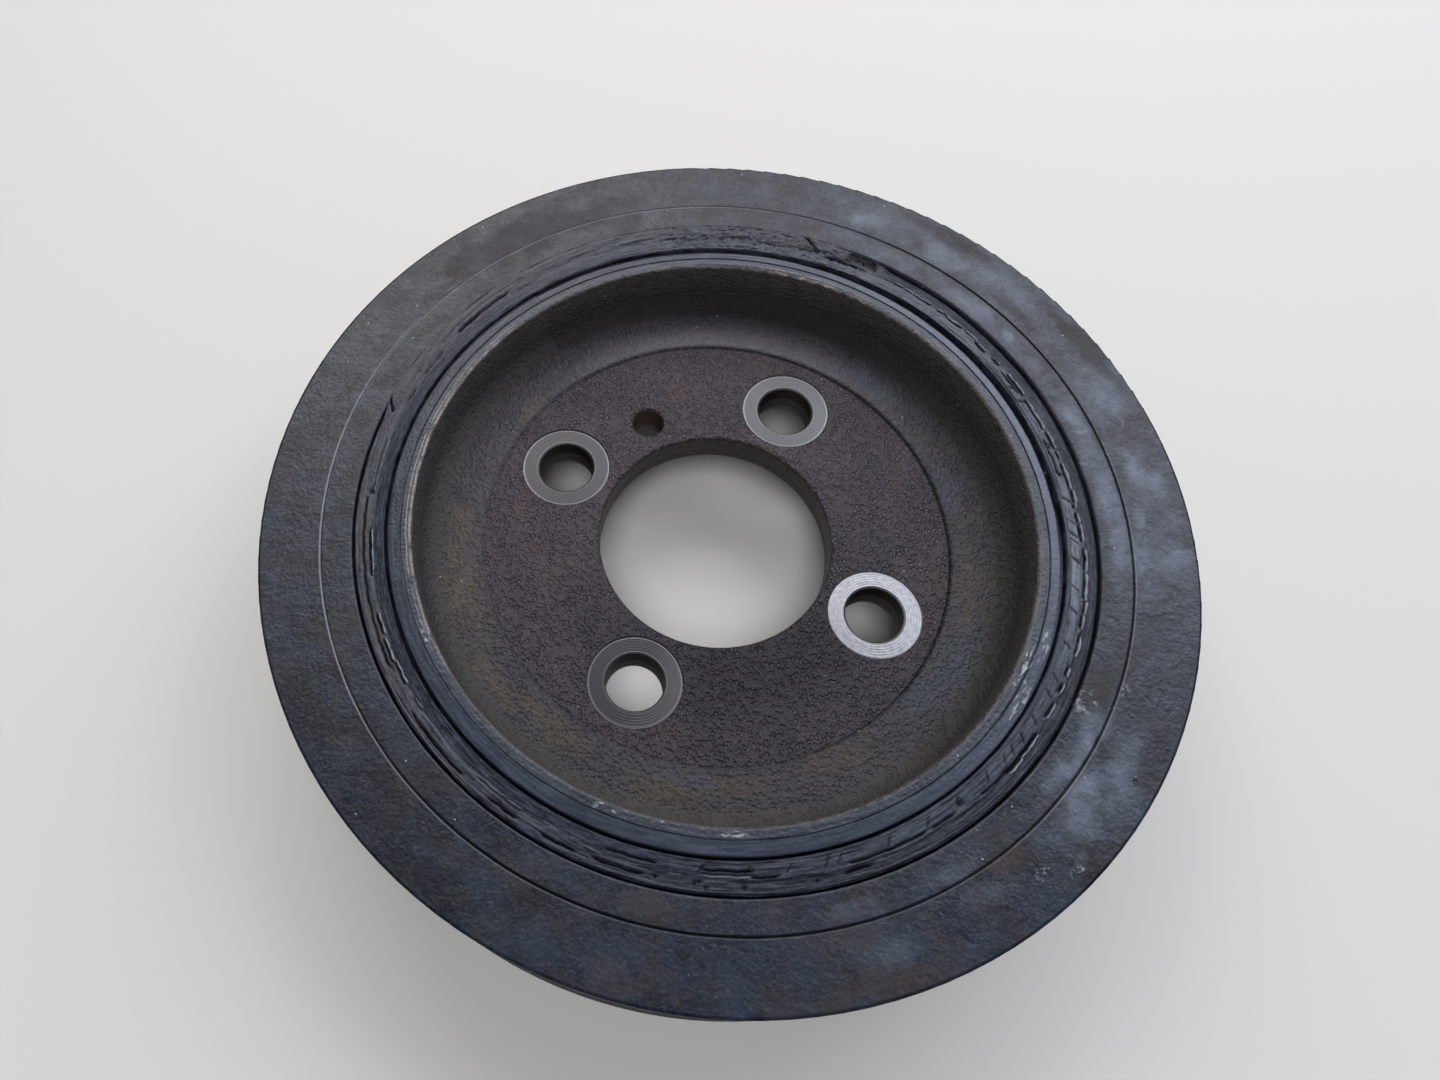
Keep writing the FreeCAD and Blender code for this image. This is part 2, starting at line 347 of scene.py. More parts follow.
def coated_iron():
    """Cast iron, turned and thinly coated black, after years by an engine.

    The coat is blue black with a satin sheen. Dried fluid left pale bluish films with soft ragged
    rims, road dirt left brown ones, and the belt keeps the flanks of its grooves bare and bright."""
    material, tree = new_finish("black_coated_iron")
    place, flat, radius, height = coordinates(tree)
    ragged = unrolled(tree, drifted(tree, flat, 6, 3.0), *ON_RING)
    steady = unrolled(tree, drifted(tree, flat, 4, 0.12), *ON_RING)
    rough_fray = fray(tree, place, 5, 0.75)
    fine_fray = fray(tree, place, 1.2, 0.5)
    top = band(tree, height, TOP_Z - 0.6, TOP_Z + 1, 0.1)

    film = dried_fluid(tree, place, ragged, steady, rough_fray)
    brown = road_dirt(tree, ragged, rough_fray)
    pits = overlap(
        tree,
        stains(tree, ragged, *ON_RING, 5, PITTED_EDGE, 0.5, rough_fray),
        specks(tree, place, 0.8, 0.55, 9),
    )
    tar = stains(tree, steady, *ON_RING, 1.5, TAR_SPOTS, 0.25, fine_fray)
    rust = stains(tree, ragged, *ON_RING, 2, RUST_BLOTS, 0.5, fine_fray)
    scuff = stains(tree, steady, *ON_RING, 1.5, PALE_SCUFFS, 0.4, fine_fray)
    line_shade, line_shade_lift, line_highlight = scribed_line(tree, steady, top)
    mottle = cloud(tree, place, 9, 0.5, 0.2)
    blue_haze = cloud(tree, place, 8, 0.5, 0.12, 31)
    brown_haze = cloud(tree, place, 6.5, 0.54, 0.1, 57)
    darkening = cloud(tree, place, 5, 0.6, 0.1, 83)
    rim = overlap(tree, band(tree, radius, OUTER_R - 0.5, OUTER_R + 1, 0.12), top)

    groove_side = band(tree, height, TRACK_Z[0], TRACK_Z[1], 0.3)
    track = overlap(tree, groove_side, band(tree, radius, TRACK_R, OUTER_R + 1, 0.5))
    deep = band(tree, radius, TRACK_R, GROOVE_FLOOR_R + 0.5, 0.4)

    colour = layered(
        tree, "RGBA", linear("#0c0f17"),
        (mottle, 1.0, "#151a26"),
        (blue_haze, 0.4, "#2b3443"),
        (cloud(tree, place, 2.2, 0.5, 0.12), 0.3, "#232a38"),
        (cloud(tree, place, 0.55, 0.56, 0.12), 0.35, "#343c4b"),
        (brown_haze, 0.4, "#2b2423"),
        (film, 0.6, "#666e81"),
        (stains(tree, ragged, *ON_RING, 2, PALE_CORES, 0.7, rough_fray), 0.25, "#7f899b"),
        (brown, 0.3, "#3d3531"),
        (stains(tree, ragged, *ON_RING, 2, DARK_BLOTS, 0.5, rough_fray), 0.6, "#101115"),
        (darkening, 0.45, "#0d0e12"),
        (overlap(tree, rust, cloud(tree, place, 1.1, 0.5, 0.1)), 0.3, "#46342b"),
        (specks(tree, place, 1.9, 0.13), 0.6, "#0b0c0f"),
        (specks(tree, place, 4.5, 0.045, 5), 0.7, "#a9a79f"),
        (tar, 0.95, "#0b0c0f"),
        (overlap(tree, scuff, cloud(tree, place, 0.8, 0.55, 0.08)), 0.7, "#8f959f"),
        # Painted highlight on the scribed line's outer edge, painted light that lifts the shade in its
        # groove, and painted shade in the groove
        (line_highlight, 0.6, "#8d9199"),
        (line_shade_lift, 0.7, "#6c6c72"),
        (line_shade, 0.95, "#08090b"),
        (pits, 0.45, "#0e1014"),
        (track, 1.0, "#59585a"),
        (overlap(tree, track, deep), 1.0, "#3a2b22"),
    )
    rough = layered(
        tree, "FLOAT", 0.39,
        (mottle, 1.0, 0.43),
        (film, 0.8, 0.48),
        (brown_haze, 0.7, 0.54),
        (brown, 0.7, 0.66),
        (rim, 1.0, 0.8),
        (tar, 1.0, 0.25),
    )
    sheen = layered(
        tree, "FLOAT", 0.62,
        (cloud(tree, place, 0.7, 0.5, 0.12), 0.5, 0.3),
        (cloud(tree, place, 3, 0.5, 0.15, 11), 0.4, 0.35),
        (brown, 0.4, 0.3),
        (line_shade, 1.0, 0.05),
        (rim, 1.0, 0.05),
    )
    grain = add(tree, "ShaderNodeTexNoise", {"Vector": place, "Scale": 1 / COAT_GRAIN, "Detail": 4})
    blister = add(tree, "ShaderNodeTexNoise", {"Vector": place, "Scale": 1 / COAT_BLISTER, "Detail": 2})
    normal = embossed(tree, (grain, 0.12), (blister, 0.13))
    inputs = {"Base Color": colour, "Roughness": rough, "Specular IOR Level": sheen}
    inputs |= {"Metallic": overlap(tree, track, 0.6), "Normal": normal}
    shade(tree, inputs)
    return material


# Angle at which the hub is cut open to unroll it, and the radius that keeps its length
ON_HUB = (124, 46.0)
# Grain that the sand mould left, holes in it, and the pitch of the turning marks on the spot faces,
# drawn five times as coarse as the real one so that they show
SAND_GRAIN = 1.1
SAND_HOLE = 0.9
TURNING_PITCH = 0.5
# Ridges at the top of the dish's wall that wear bright: inner radius, outer radius and softness
WORN_RIDGES = ((55.45, 55.8, 0.12), (56.2, 56.4, 0.1))
# Where painted sheen lies outside the cast disc, and how far the near side's painted shade reaches from the
# bore
ANNULUS_SHEEN_R = (42, 47)
BORE_SHADE_R = 34
# Marks on the hub: angle, radius and half width. Stains and scuffs are three times as long as wide,
# and blooms of rust twice.
TAN_STAINS = (
    (178, 48.5, 2.2), (192, 48.5, 2.6), (230, 47.5, 2.2), (256, 49.5, 2.4), (292, 46, 2.0),
    (344, 47, 2.0), (140, 45.5, 1.2), (305, 53.6, 1.2), (212, 49.5, 1.9), (270, 47, 1.6),
)
BLUE_STAINS = ((47, 47.5, 2.2), (259, 46, 1.3), (317, 46, 1.8), (326, 48.5, 2.2), (10, 46, 1.8))
RUST_BLOOMS = (
    (194, 32, 1.8), (190, 28, 1.8), (182, 34, 1.4), (88, 29, 1.6), (168, 38, 2.0), (254, 39, 2.2),
    (346, 41, 1.6), (70, 40, 2.0), (98, 33, 2.0), (20, 38, 2.0),
)
LIP_SCUFFS = (
    (322, 58.4, 1.0), (328, 56.8, 0.9), (247, 56.6, 0.5), (268, 56.7, 0.5), (203, 56.4, 0.5),
    (333, 58.6, 0.7),
)
# How worn the inner edge of the lip is round the turn: angle, and share from 0 to 1
EDGE_WEAR = (
    (0, 0.0), (28, 0.1), (38, 0.5), (46, 0.1), (60, 0.3), (64, 0.9), (72, 0.8), (76, 0.1), (130, 0.1),
    (139, 0.8), (146, 0.6), (160, 1.0), (186, 0.8), (206, 0.6), (214, 0.1), (300, 0.0),
)
# Painted highlight on the spot faces round the turn, and painted sheen on the outer part of the lip
SEAT_HIGHLIGHT = (
    (0, 1.0), (30, 0.2), (60, 0.17), (105, 0.1), (150, 0.08), (195, 0.05), (240, 0.05), (285, 0.5),
    (330, 1.0),
)
LIP_SHEEN = ((0, 0.7), (40, 0.8), (70, 0.4), (100, 0.1), (150, 0.0), (200, 0.1), (290, 0.2), (320, 0.5))
# How wide the painted shade of the channel's gap laps onto the lip, and how strong the painted shade and
# painted sheen on the casting are
GAP_SHADE = ((0, 1.0), (60, 1.0), (95, 0.9), (130, 0.5), (160, 0.1), (320, 0.0), (345, 0.6))
DISC_SHADE = ((0, 0.3), (40, 0.0), (185, 0.0), (225, 0.5), (265, 1.0), (310, 1.0), (340, 0.5))
ANNULUS_SHEEN = ((0, 0.0), (30, 0.1), (60, 0.7), (95, 0.9), (120, 0.5), (150, 0.15), (200, 0.0))
# Painted shade round the turn on the dish's wall, at the foot of the cast disc and in the turned line on the
# lip
WALL_SHADE = ((0, 1.0), (110, 1.0), (140, 0.5), (165, 0.1), (250, 0.0), (290, 0.3), (325, 1.0))
STEP_SHADE = ((0, 1.0), (60, 1.0), (110, 0.8), (140, 0.4), (170, 0.15), (280, 0.2), (320, 0.9))
LIP_LINE_SHADE = ((0, 0.9), (60, 0.9), (90, 0.5), (140, 0.6), (200, 0.5), (240, 0.8), (290, 0.7), (330, 0.9))


def from_nearest_bolt(tree, flat):
    """Distance from the nearest bolt hole's centre: the plan is folded until the four holes are one."""
    about = {"Vector": flat, "Angle": -math.radians(BOLT_TURN)}
    turned_back = add(tree, "ShaderNodeVectorRotate", about, rotation_type="Z_AXIS")
    folded = add(tree, "ShaderNodeVectorMath", {0: turned_back}, operation="ABSOLUTE")
    fold_x = add(tree, "ShaderNodeSeparateXYZ", {0: folded}, "X")
    fold_y = add(tree, "ShaderNodeSeparateXYZ", {0: folded}, "Y")
    long_side = add(tree, "ShaderNodeMath", {0: fold_x, 1: fold_y}, operation="MAXIMUM")
    short_side = add(tree, "ShaderNodeMath", {0: fold_x, 1: fold_y}, operation="MINIMUM")
    wedge = add(tree, "ShaderNodeCombineXYZ", {"X": long_side, "Y": short_side})
    to_bolt = {0: wedge, 1: (BOLT_CIRCLE_R, 0, 0)}
    return add(tree, "ShaderNodeVectorMath", to_bolt, "Value", operation="DISTANCE")


def from_locating_hole(tree, flat):
    """Distance from the locating hole's centre."""
    turn = math.radians(LOCATING_TURN)
    to_hole = {0: flat, 1: (LOCATING_R * math.cos(turn), LOCATING_R * math.sin(turn), 0)}
    return add(tree, "ShaderNodeVectorMath", to_hole, "Value", operation="DISTANCE")


def hub_places(tree, from_bolt, radius, height):
    """Masks of the hub's own surfaces, by name."""
    front = band(tree, height, FRONT_Z, TOP_Z + 1, 0.5)
    lip_height = band(tree, height, TOP_Z - 1.2, TOP_Z + 1, 0.2)
    pad_height = band(tree, height, -1, WEB_REAR_Z, 0.2)
    mouth_r = BOLT_HOLE_R + 0.1
    return {
        "front": front,
        "disc": overlap(tree, band(tree, radius, -1, DISC_R, 0.25), front),
        "disc_foot": overlap(tree, band(tree, radius, DISC_R - 0.25, DISC_R + 0.25, 0.15), front),
        "wall": overlap(tree, band(tree, radius, WALL_FOOT_R, LIP_INNER_R, 1.2), front),
        "wall_top": overlap(tree, band(tree, radius, LIP_INNER_R - 0.3, LIP_INNER_R + 0.7, 0.35), front),
        "lip": overlap(tree, band(tree, radius, LIP_INNER_R + 0.3, OUTER_R, 0.3), lip_height),
        "spot_face": overlap(tree, band(tree, from_bolt, -1, BOLT_SEAT_R + 0.02, 0.1), front),
        "seat_rim": overlap(tree, band(tree, from_bolt, BOLT_SEAT_R - 0.35, BOLT_SEAT_R, 0.12), front),
        "hole_mouth": overlap(tree, band(tree, from_bolt, mouth_r, mouth_r + 0.35, 0.1), front),
        "hole_wall": band(tree, from_bolt, -1, mouth_r, 0.08),
        "bore": band(tree, radius, -1, BORE_R + 0.25, 0.15),
        "rear_pad": overlap(tree, band(tree, radius, -1, PAD_R, 0.3), pad_height),
    }


def hub_dirt(tree, place, ragged, steady, at):
    """Masks of what lies on the hub or has worn it, and of painted shade and painted sheen, by name."""
    rough_fray = fray(tree, place, 3.4, 0.8)
    fine_fray = fray(tree, place, 0.9, 0.5)
    out = add(tree, "ShaderNodeSeparateXYZ", {0: steady}, "Y")
    first_ridge, second_ridge = (band(tree, out, *edges) for edges in WORN_RIDGES)
    ridges = add(tree, "ShaderNodeMath", {0: first_ridge, 1: second_ridge}, operation="MAXIMUM")
    tan = stains(tree, ragged, *ON_HUB, 3, TAN_STAINS, 0.5, rough_fray)
    rust = stains(tree, ragged, *ON_HUB, 2, RUST_BLOOMS, 0.6, rough_fray)
    scuff = stains(tree, ragged, *ON_HUB, 3, LIP_SCUFFS, 0.5, fine_fray)
    line = band(tree, out, LIP_LINE_R - 0.14, LIP_LINE_R + 0.14, 0.08)
    outer_lip = band(tree, out, LIP_LINE_R + 0.1, OUTER_R, 0.1)
    streaky = add(tree, "ShaderNodeVectorMath", {0: steady, 1: (0.4, 1, 1)}, operation="MULTIPLY")
    lap = band(tree, out, HUB_RIM_R - 0.75, OUTER_R, 0.15)

    def by_turn(stops):
        """Strength round the turn."""
        return round_the_turn(tree, steady, *ON_HUB, stops)

    darkening = by_turn(DISC_SHADE)
    return {
        "tan": overlap(tree, tan, cloud(tree, place, 1.4, 0.42, 0.2)),
        "blue": stains(tree, ragged, *ON_HUB, 3, BLUE_STAINS, 0.6, rough_fray),
        "rust": overlap(tree, rust, cloud(tree, place, 1.1, 0.46, 0.14), at["disc"]),
        "lightened": overlap(tree, ridges, by_turn(EDGE_WEAR), cloud(tree, ragged, 2.4, 0.46, 0.1), at["front"]),
        "scuff": overlap(tree, scuff, cloud(tree, streaky, 0.6, 0.56, 0.06), at["lip"]),
        # Painted sheen on the outer part of the lip, strongest towards the right
        "lip_sheen": overlap(tree, outer_lip, by_turn(LIP_SHEEN)),
        # Painted shade on the near side of the casting, stronger by the bore
        "darkening": darkening,
        "bore_shade": overlap(tree, darkening, band(tree, out, -1, BORE_SHADE_R, 4)),
        # Painted shade on the dish's wall where it faces away from the lamps
        "shaded_wall": overlap(tree, at["wall"], by_turn(WALL_SHADE)),
        # Painted shade in the step at the foot of the cast disc
        "step_shade": overlap(tree, at["disc_foot"], by_turn(STEP_SHADE)),
        # Painted sheen on the annulus outside the cast disc, on the far side
        "pale_wash": overlap(tree, by_turn(ANNULUS_SHEEN), band(tree, out, *ANNULUS_SHEEN_R, 3)),
        # Painted shade of the gap between lip and rubber, laid on the lip's outer edge
        "gap_shade": overlap(tree, lap, by_turn(GAP_SHADE)),
        # Painted shade in the turned line on the lip
        "lip_groove_shade": overlap(tree, line, by_turn(LIP_LINE_SHADE), at["lip"]),
        "pale_edge": overlap(tree, at["wall_top"], cloud(tree, place, 2.5, 0.42, 0.2)),
    }


def cast_hub_iron():
    """Grey cast iron, as cast in the middle and turned at its rim, with light rust.

    The oxide skin shines more than paint. The cast disc is coarse and purple brown, the turned lip is
    smooth slate with worn edges, and the spot faces under the bolt heads are bare grey metal."""
    material, tree = new_finish("rusted_cast_iron")
    place, flat, radius, height = coordinates(tree)
    ragged = unrolled(tree, drifted(tree, flat, 4, 2.4), *ON_HUB)
    steady = unrolled(tree, drifted(tree, flat, 5, 0.35), *ON_HUB)
    from_bolt = from_nearest_bolt(tree, flat)
    at = hub_places(tree, from_bolt, radius, height)
    blotch = cloud(tree, place, 7, 0.5, 0.2)
    patches = cloud(tree, place, 2.2, 0.5, 0.2)
    crumbs = cloud(tree, place, 0.45, 0.56, 0.1)
    on = hub_dirt(tree, place, ragged, steady, at)
    locating_wall = band(tree, from_locating_hole(tree, flat), -1, LOCATING_HOLE_R + 0.1, 0.1)
    along = add(tree, "ShaderNodeVectorMath", {0: steady, 1: (0.1, 1, 1)}, operation="MULTIPLY")
    streaks = cloud(tree, along, 0.5, 0.52, 0.12)
    # Painted highlight: how brightly the lamps catch the spot faces round the turn
    painted_highlight = round_the_turn(tree, steady, *ON_HUB, SEAT_HIGHLIGHT)
    seat_grime = cloud(tree, place, 0.8, 0.52, 0.14)

    annulus_colour = layered(
        tree, "RGBA", linear("#242329"),
        (blotch, 1.0, "#302d2e"),
        # Painted sheen on the annulus outside the cast disc, on the far side
        (on["pale_wash"], 0.85, "#64616a"),
        (on["tan"], 0.5, "#5f4f3c"),
        (on["blue"], 0.4, "#39475c"),
        (patches, 0.3, "#464248"),
        (crumbs, 0.3, "#55514f"),
        # Painted shade: the annulus darker on the near side
        (on["darkening"], 0.3, "#121116"),
    )
    disc_colour = layered(
        tree, "RGBA", linear("#2e2a32"),
        (blotch, 1.0, "#3b353a"),
        (patches, 0.3, "#46383d"),
        (on["rust"], 0.3, "#5d4237"),
        (crumbs, 0.35, "#5b555c"),
        # Painted shade on the disc's near side, darkest by the bore
        (on["darkening"], 0.4, "#111016"),
        (on["bore_shade"], 0.6, "#0d0d12"),
    )
    lip_colour = layered(
        tree, "RGBA", linear("#1d222c"),
        (blotch, 1.0, "#2a303b"),
        (streaks, 0.4, "#4c5360"),
        # Painted sheen on the lip's outer part
        (on["lip_sheen"], 0.5, "#6f768a"),
        (on["scuff"], 0.8, "#9da1a8"),
        # Painted shade in the turned line on the lip
        (on["lip_groove_shade"], 0.8, "#0a0c10"),
        # Painted shade of the gap between lip and rubber, laid on the lip's outer edge
        (on["gap_shade"], 1.0, "#040507"),
    )
    seat_colour = layered(
        tree, "RGBA", linear("#3e3d40"),
        # Painted highlight on the spot faces, stronger at some turns
        (painted_highlight, 1.0, "#a5a5a8"),
        (seat_grime, 0.3, "#4c4a4b"),
        (at["seat_rim"], 0.4, "#a4a4a7"),
        (at["hole_mouth"], 0.5, "#a6a6a8"),
    )
    colour = layered(
        tree, "RGBA", annulus_colour,
        (at["wall"], 0.5, "#38332f"),
        # Painted shade on the dish's wall where it faces away from the lamps
        (on["shaded_wall"], 0.85, "#1d1917"),
        (at["disc"], 1.0, disc_colour),
        # Painted shade in the step at the foot of the cast disc
        (on["step_shade"], 0.85, "#0a090c"),
        (at["lip"], 1.0, lip_colour),
        (at["spot_face"], 1.0, seat_colour),
        (on["pale_edge"], 0.12, "#7a736a"),
        (on["lightened"], 0.7, "#9d918d"),
        (specks(tree, place, 2.0, 0.12), 0.5, "#100e11"),
        (specks(tree, place, 5.0, 0.05, 5), 0.6, "#9a948c"),
        (at["bore"], 1.0, "#2b2320"),
        (locating_wall, 1.0, "#3a271c"),
        (at["hole_wall"], 1.0, "#3a3634"),
        (at["rear_pad"], 0.8, "#6f6c6a"),
    )

    bare = add(tree, "ShaderNodeMath", {0: 1.0, 1: at["spot_face"]}, operation="SUBTRACT")
    grain = {"Vector": place, "Scale": 1 / SAND_GRAIN, "Detail": 4, "Roughness": 0.65}
    coarse = add(tree, "ShaderNodeTexNoise", grain)
    holes = specks(tree, place, SAND_HOLE, 0.5, 9)
    cast_height = layered(tree, "FLOAT", coarse, (holes, 0.8, 0.0))
    coarseness = layered(tree, "FLOAT", 0.45, (at["disc"], 1.0, 1.0), (at["lip"], 1.0, 0.12))
    cast_height = overlap(tree, cast_height, coarseness, bare)
    wave = {0: from_bolt, 1: 2 * math.pi / TURNING_PITCH}
    wave = add(tree, "ShaderNodeMath", wave, operation="MULTIPLY")
    rings = add(tree, "ShaderNodeMath", {0: wave}, operation="SINE")
    rings = overlap(tree, rings, at["spot_face"])

    metal = layered(tree, "FLOAT", 0.0, (at["spot_face"], 1.0, 0.9), (at["rear_pad"], 1.0, 0.5))
    rough = layered(
        tree, "FLOAT", 0.55,
        (at["disc"], 1.0, 0.44),
        (at["lip"], 1.0, 0.4),
        (at["wall"], 0.8, 0.7),
        (on["tan"], 0.6, 0.7),
        (on["rust"], 0.6, 0.75),
        (at["spot_face"], 1.0, 0.42),
        (at["hole_wall"], 1.0, 0.6),
    )
    sheen = layered(
        tree, "FLOAT", 0.5,
        (on["gap_shade"], 1.0, 0.02),
        (on["lip_groove_shade"], 0.8, 0.1),
        (on["step_shade"], 0.9, 0.1),
    )
    inputs = {"Base Color": colour, "Roughness": rough, "Specular IOR Level": sheen, "Metallic": metal}
    shade(tree, inputs | {"Normal": embossed(tree, (cast_height, 0.85), (rings, 0.008))})
    return material


def ramp(value, low, high):
    """0 below low, 1 above high, and a smooth S curve between."""
    share = np.clip((value - low) / (high - low), 0, 1)
    return share * share * (3 - 2 * share)


def turn_gap(turn, place):
    """Angle from a place to each point, wrapped to half a turn either way."""
    return (turn - place + 180) % 360 - 180


def bell(distance, width):
    """Bell curve that is 1 at no distance and fades over a width."""
    return np.exp(-((distance / width) ** 2))


def stretch(turn, start, end, fade):
    """1 along a stretch of the turn and 0 outside. Its ends fade over an angle either way."""
    half = ((end - start) % 360) / 2
    away = np.abs(turn_gap(turn, start + half))
    return 1 - ramp(away, half - fade, half + fade)


# Raised slivers along the torn edge of the skin: first angle, last angle and radius
SLIVERS = (
    (0, 2.2, 63.3), (2.5, 7.2, 63.1), (8, 9.6, 63.2), (10.2, 13.6, 63.1), (14.3, 20.5, 62.9),
    (21.4, 26, 63.2), (28.4, 30.2, 63.2), (31.8, 34.4, 63.0), (34.6, 37, 63.6), (38, 41.4, 63.4),
    (42.4, 43.4, 63.5), (45, 48.4, 63.5), (48.7, 50.4, 63.5), (51, 52.4, 63.7), (135, 140, 62.8),
    (145, 150.5, 62.4), (154, 157, 62.3), (165, 175, 62.7), (182, 187.8, 62.3), (188, 190.2, 62.4),
    (197, 200.6, 62.6), (201.4, 205.6, 62.75), (205.4, 209.6, 62.45), (212.4, 214.6, 62.5),
    (228, 231.8, 62.6), (232, 236, 62.6), (244, 246.4, 63.0), (248, 254.2, 63.0), (263, 270, 62.8),
    (311, 314.5, 63.8), (314.6, 319, 63.6), (322, 324.6, 63.4), (326.6, 328, 63.4), (329.5, 331, 63.4),
    (333.4, 336.6, 63.8), (338, 340, 63.6), (340.5, 342.6, 63.8), (343, 347.4, 63.6),
    (348, 351.6, 63.6), (353, 356, 63.3), (356.4, 358, 63.1), (359, 359.8, 63.1),
)
# Cracks that run round the rubber: first angle, last angle and radius
CRACKS = (
    (231, 236, 64.2), (240, 245.4, 64.25), (248, 255, 64.1), (283, 287, 63.9), (270, 274, 62.85),
    (249, 256.6, 62.0), (263, 270.4, 61.9), (297, 301, 62.8), (176, 206, 63.9), (214, 226, 64.3),
    (284, 296, 62.8), (306, 318, 63.1), (22, 27, 62.1), (5, 12, 61.6), (60, 66, 62.8), (128, 140, 63.5),
)
# Angles at which the raised plates inside the tear meet
PLATE_JOINTS = (
    255, 263.5, 270, 276, 281.5, 283.4, 291, 297.5, 303, 309, 313, 315, 317.5, 321, 326, 329,
    335, 341, 345, 350, 353.5, 354.6, 357, 361, 366, 372, 381, 384, 390,
)
# Pits in the rubber: angle, radius and width
PITS = (
    (262.2, 64.1, 0.3), (262.8, 63.8, 0.25), (263.8, 64.6, 0.25), (269, 64.3, 0.4), (302.6, 62.1, 0.5),
    (175, 63.3, 0.5), (10.7, 62.0, 0.3), (65, 62.7, 0.4), (256.8, 64.0, 0.3), (279, 64.2, 0.25),
)
# Gashes across the rubber: first angle and radius, last angle and radius
GASHES = ((67.8, 63.6, 70.6, 66.2), (159.2, 64.6, 157.0, 66.2))
# Inner and outer radius of the plates, and the stretch of the turn with tar on it
PLATE_R = (61.0, 62.45)
TAR = (56.5, 62.5)
# Stretches where the slivers are faint
FAINT = ((56, 171), (212, 300))
# Angles where the skin stands highest, the tear runs widest and the slivers are thickest, and where
# the rubber is palest, most lightened by painted sheen, most matt and dustiest
PROUD_AT = 340
WIDEST_AT = 330
THICKEST_AT = 345
PALEST_AT = 350
SHEEN_AT = 20
MATT_AT = 220
DUSTIEST_AT = 192
# Where the gap at the hub is tighter and the gap at the ring looser: angle, half width and by how much
HUB_GAP = 0.18
TIGHTER = ((316, 30, 0.25), (130, 40, 0.08))
LOOSER = (250, 60, 0.14)
# Depth below the pulley's front at which the rubber's sides turn straight down
OUTER_SHOULDER = 0.9
INNER_SHOULDER = 1.2
# Grain of the rubber's skin, and of the grit and tar on it
SKIN_GRAIN = 0.5
GRIT_GRAIN = 1.1

# Grid of the rubber: points round the turn, and across its front face
ROUND = 1260
ACROSS = 58


def grain_field(seed, along, across):
    """Random heights on the front grid: white noise whose waves shorter than two lengths are damped.

    The damping is a bell curve of wave number, and the result has a spread of one."""
    noise = np.random.default_rng(seed).normal(size=(ROUND, ACROSS))
    waves_round = np.fft.fftfreq(ROUND, 2 * math.pi * TEAR_R / ROUND)[:, None]
    waves_across = np.fft.rfftfreq(ACROSS, (RUBBER_WALL - INNER_CHANNEL - OUTER_CHANNEL) / ACROSS)[None, :]
    damping = bell(waves_round * along, 1) * bell(waves_across * across, 1)
    field = np.fft.irfft2(np.fft.rfft2(noise) * damping, s=noise.shape)
    return field / field.std()


def straying(turn):
    """How far fine lines stray from their radius: the sum of two sines of the turn."""
    return 0.05 * np.sin(np.radians(turn * 97)) + 0.03 * np.sin(np.radians(turn * 211 + 70))


def torn_step(turn, radius, proud, clear):
    """Height on both sides of the tear, and the mask of the torn ground that lies lower.

    The tear is a circle off the axis that wanders by two sines. Outside it the rubber drops by a step
    where the skin is proud, and rises by a smaller one elsewhere."""
    wander = 0.14 * np.sin(np.radians(turn * 31)) + 0.08 * np.sin(np.radians(turn * 67 + 40))
    tear = TEAR_R + 0.5 * np.cos(np.radians(turn - WIDEST_AT)) + wander
    step = (0.5 * proud - 0.2 * (1 - proud)) * clear
    step = step * (0.75 + 0.25 * np.sin(np.radians(turn * 13 + 50)))
    outside = ramp(radius, tear - 0.08, tear + 0.1)
    return -0.12 - step * (outside - 0.25), outside * proud * clear


def raised_slivers(turn, radius, proud):
    """Height of the slivers, and the masks of their ridges and of the cracks beside them.

    A ridge is a bell curve of the distance from its radius, thicker and thinner by two sines of the
    turn. The crack is a bell curve beside it, on the inner side where the skin is proud."""
    height, ridges, cracks = np.zeros((3, *radius.shape))
    crack_side = 1 - 2 * proud
    uneven = 1 + 0.3 * np.sin(np.radians(turn * 157)) + 0.25 * np.sin(np.radians(turn * 83 + 20))
    thickness = (0.11 + 0.1 * bell(turn_gap(turn, THICKEST_AT), 18)) * uneven
    for start, end, middle in SLIVERS:
        strength = 0.45 if any(first < start < last for first, last in FAINT) else 1.0
        here = stretch(turn, start, end, 0.25) * strength
        away = radius - middle - straying(turn)
        ridge = bell(away, thickness) * here
        crack = bell(away - crack_side * 0.38, 0.19) * here
        height += 0.3 * ridge - 0.6 * crack
        ridges = np.maximum(ridges, ridge)
        cracks = np.maximum(cracks, crack)
    return height, ridges, cracks


def cracks_and_pits(turn, radius):
    """Depth of the cracks, pits and gashes, and their mask.

    Each is a bell curve of the distance from its arc, its centre or its line."""
    depth, recess_shade = np.zeros((2, *radius.shape))
    for start, end, middle in CRACKS:
        trough = bell(radius - middle - straying(turn), 0.19) * stretch(turn, start, end, 0.6)
        depth += 0.5 * trough
        recess_shade = np.maximum(recess_shade, trough)
    for angle, middle, width in PITS:
        away = np.hypot(np.radians(turn_gap(turn, angle)) * middle, radius - middle)
        pit = bell(away, width)
        depth += 0.5 * pit
        recess_shade = np.maximum(recess_shade, pit)
    for first, first_r, last, last_r in GASHES:
        share = np.clip((radius - first_r) / (last_r - first_r), 0, 1)
        away = np.hypot(
            np.radians(turn_gap(turn, first + share * (last - first))) * radius,
            np.clip(first_r - radius, 0, None),
        )
        gash = bell(away, 0.3)
        depth += 0.9 * gash
        recess_shade = np.maximum(recess_shade, gash)
    return depth, recess_shade


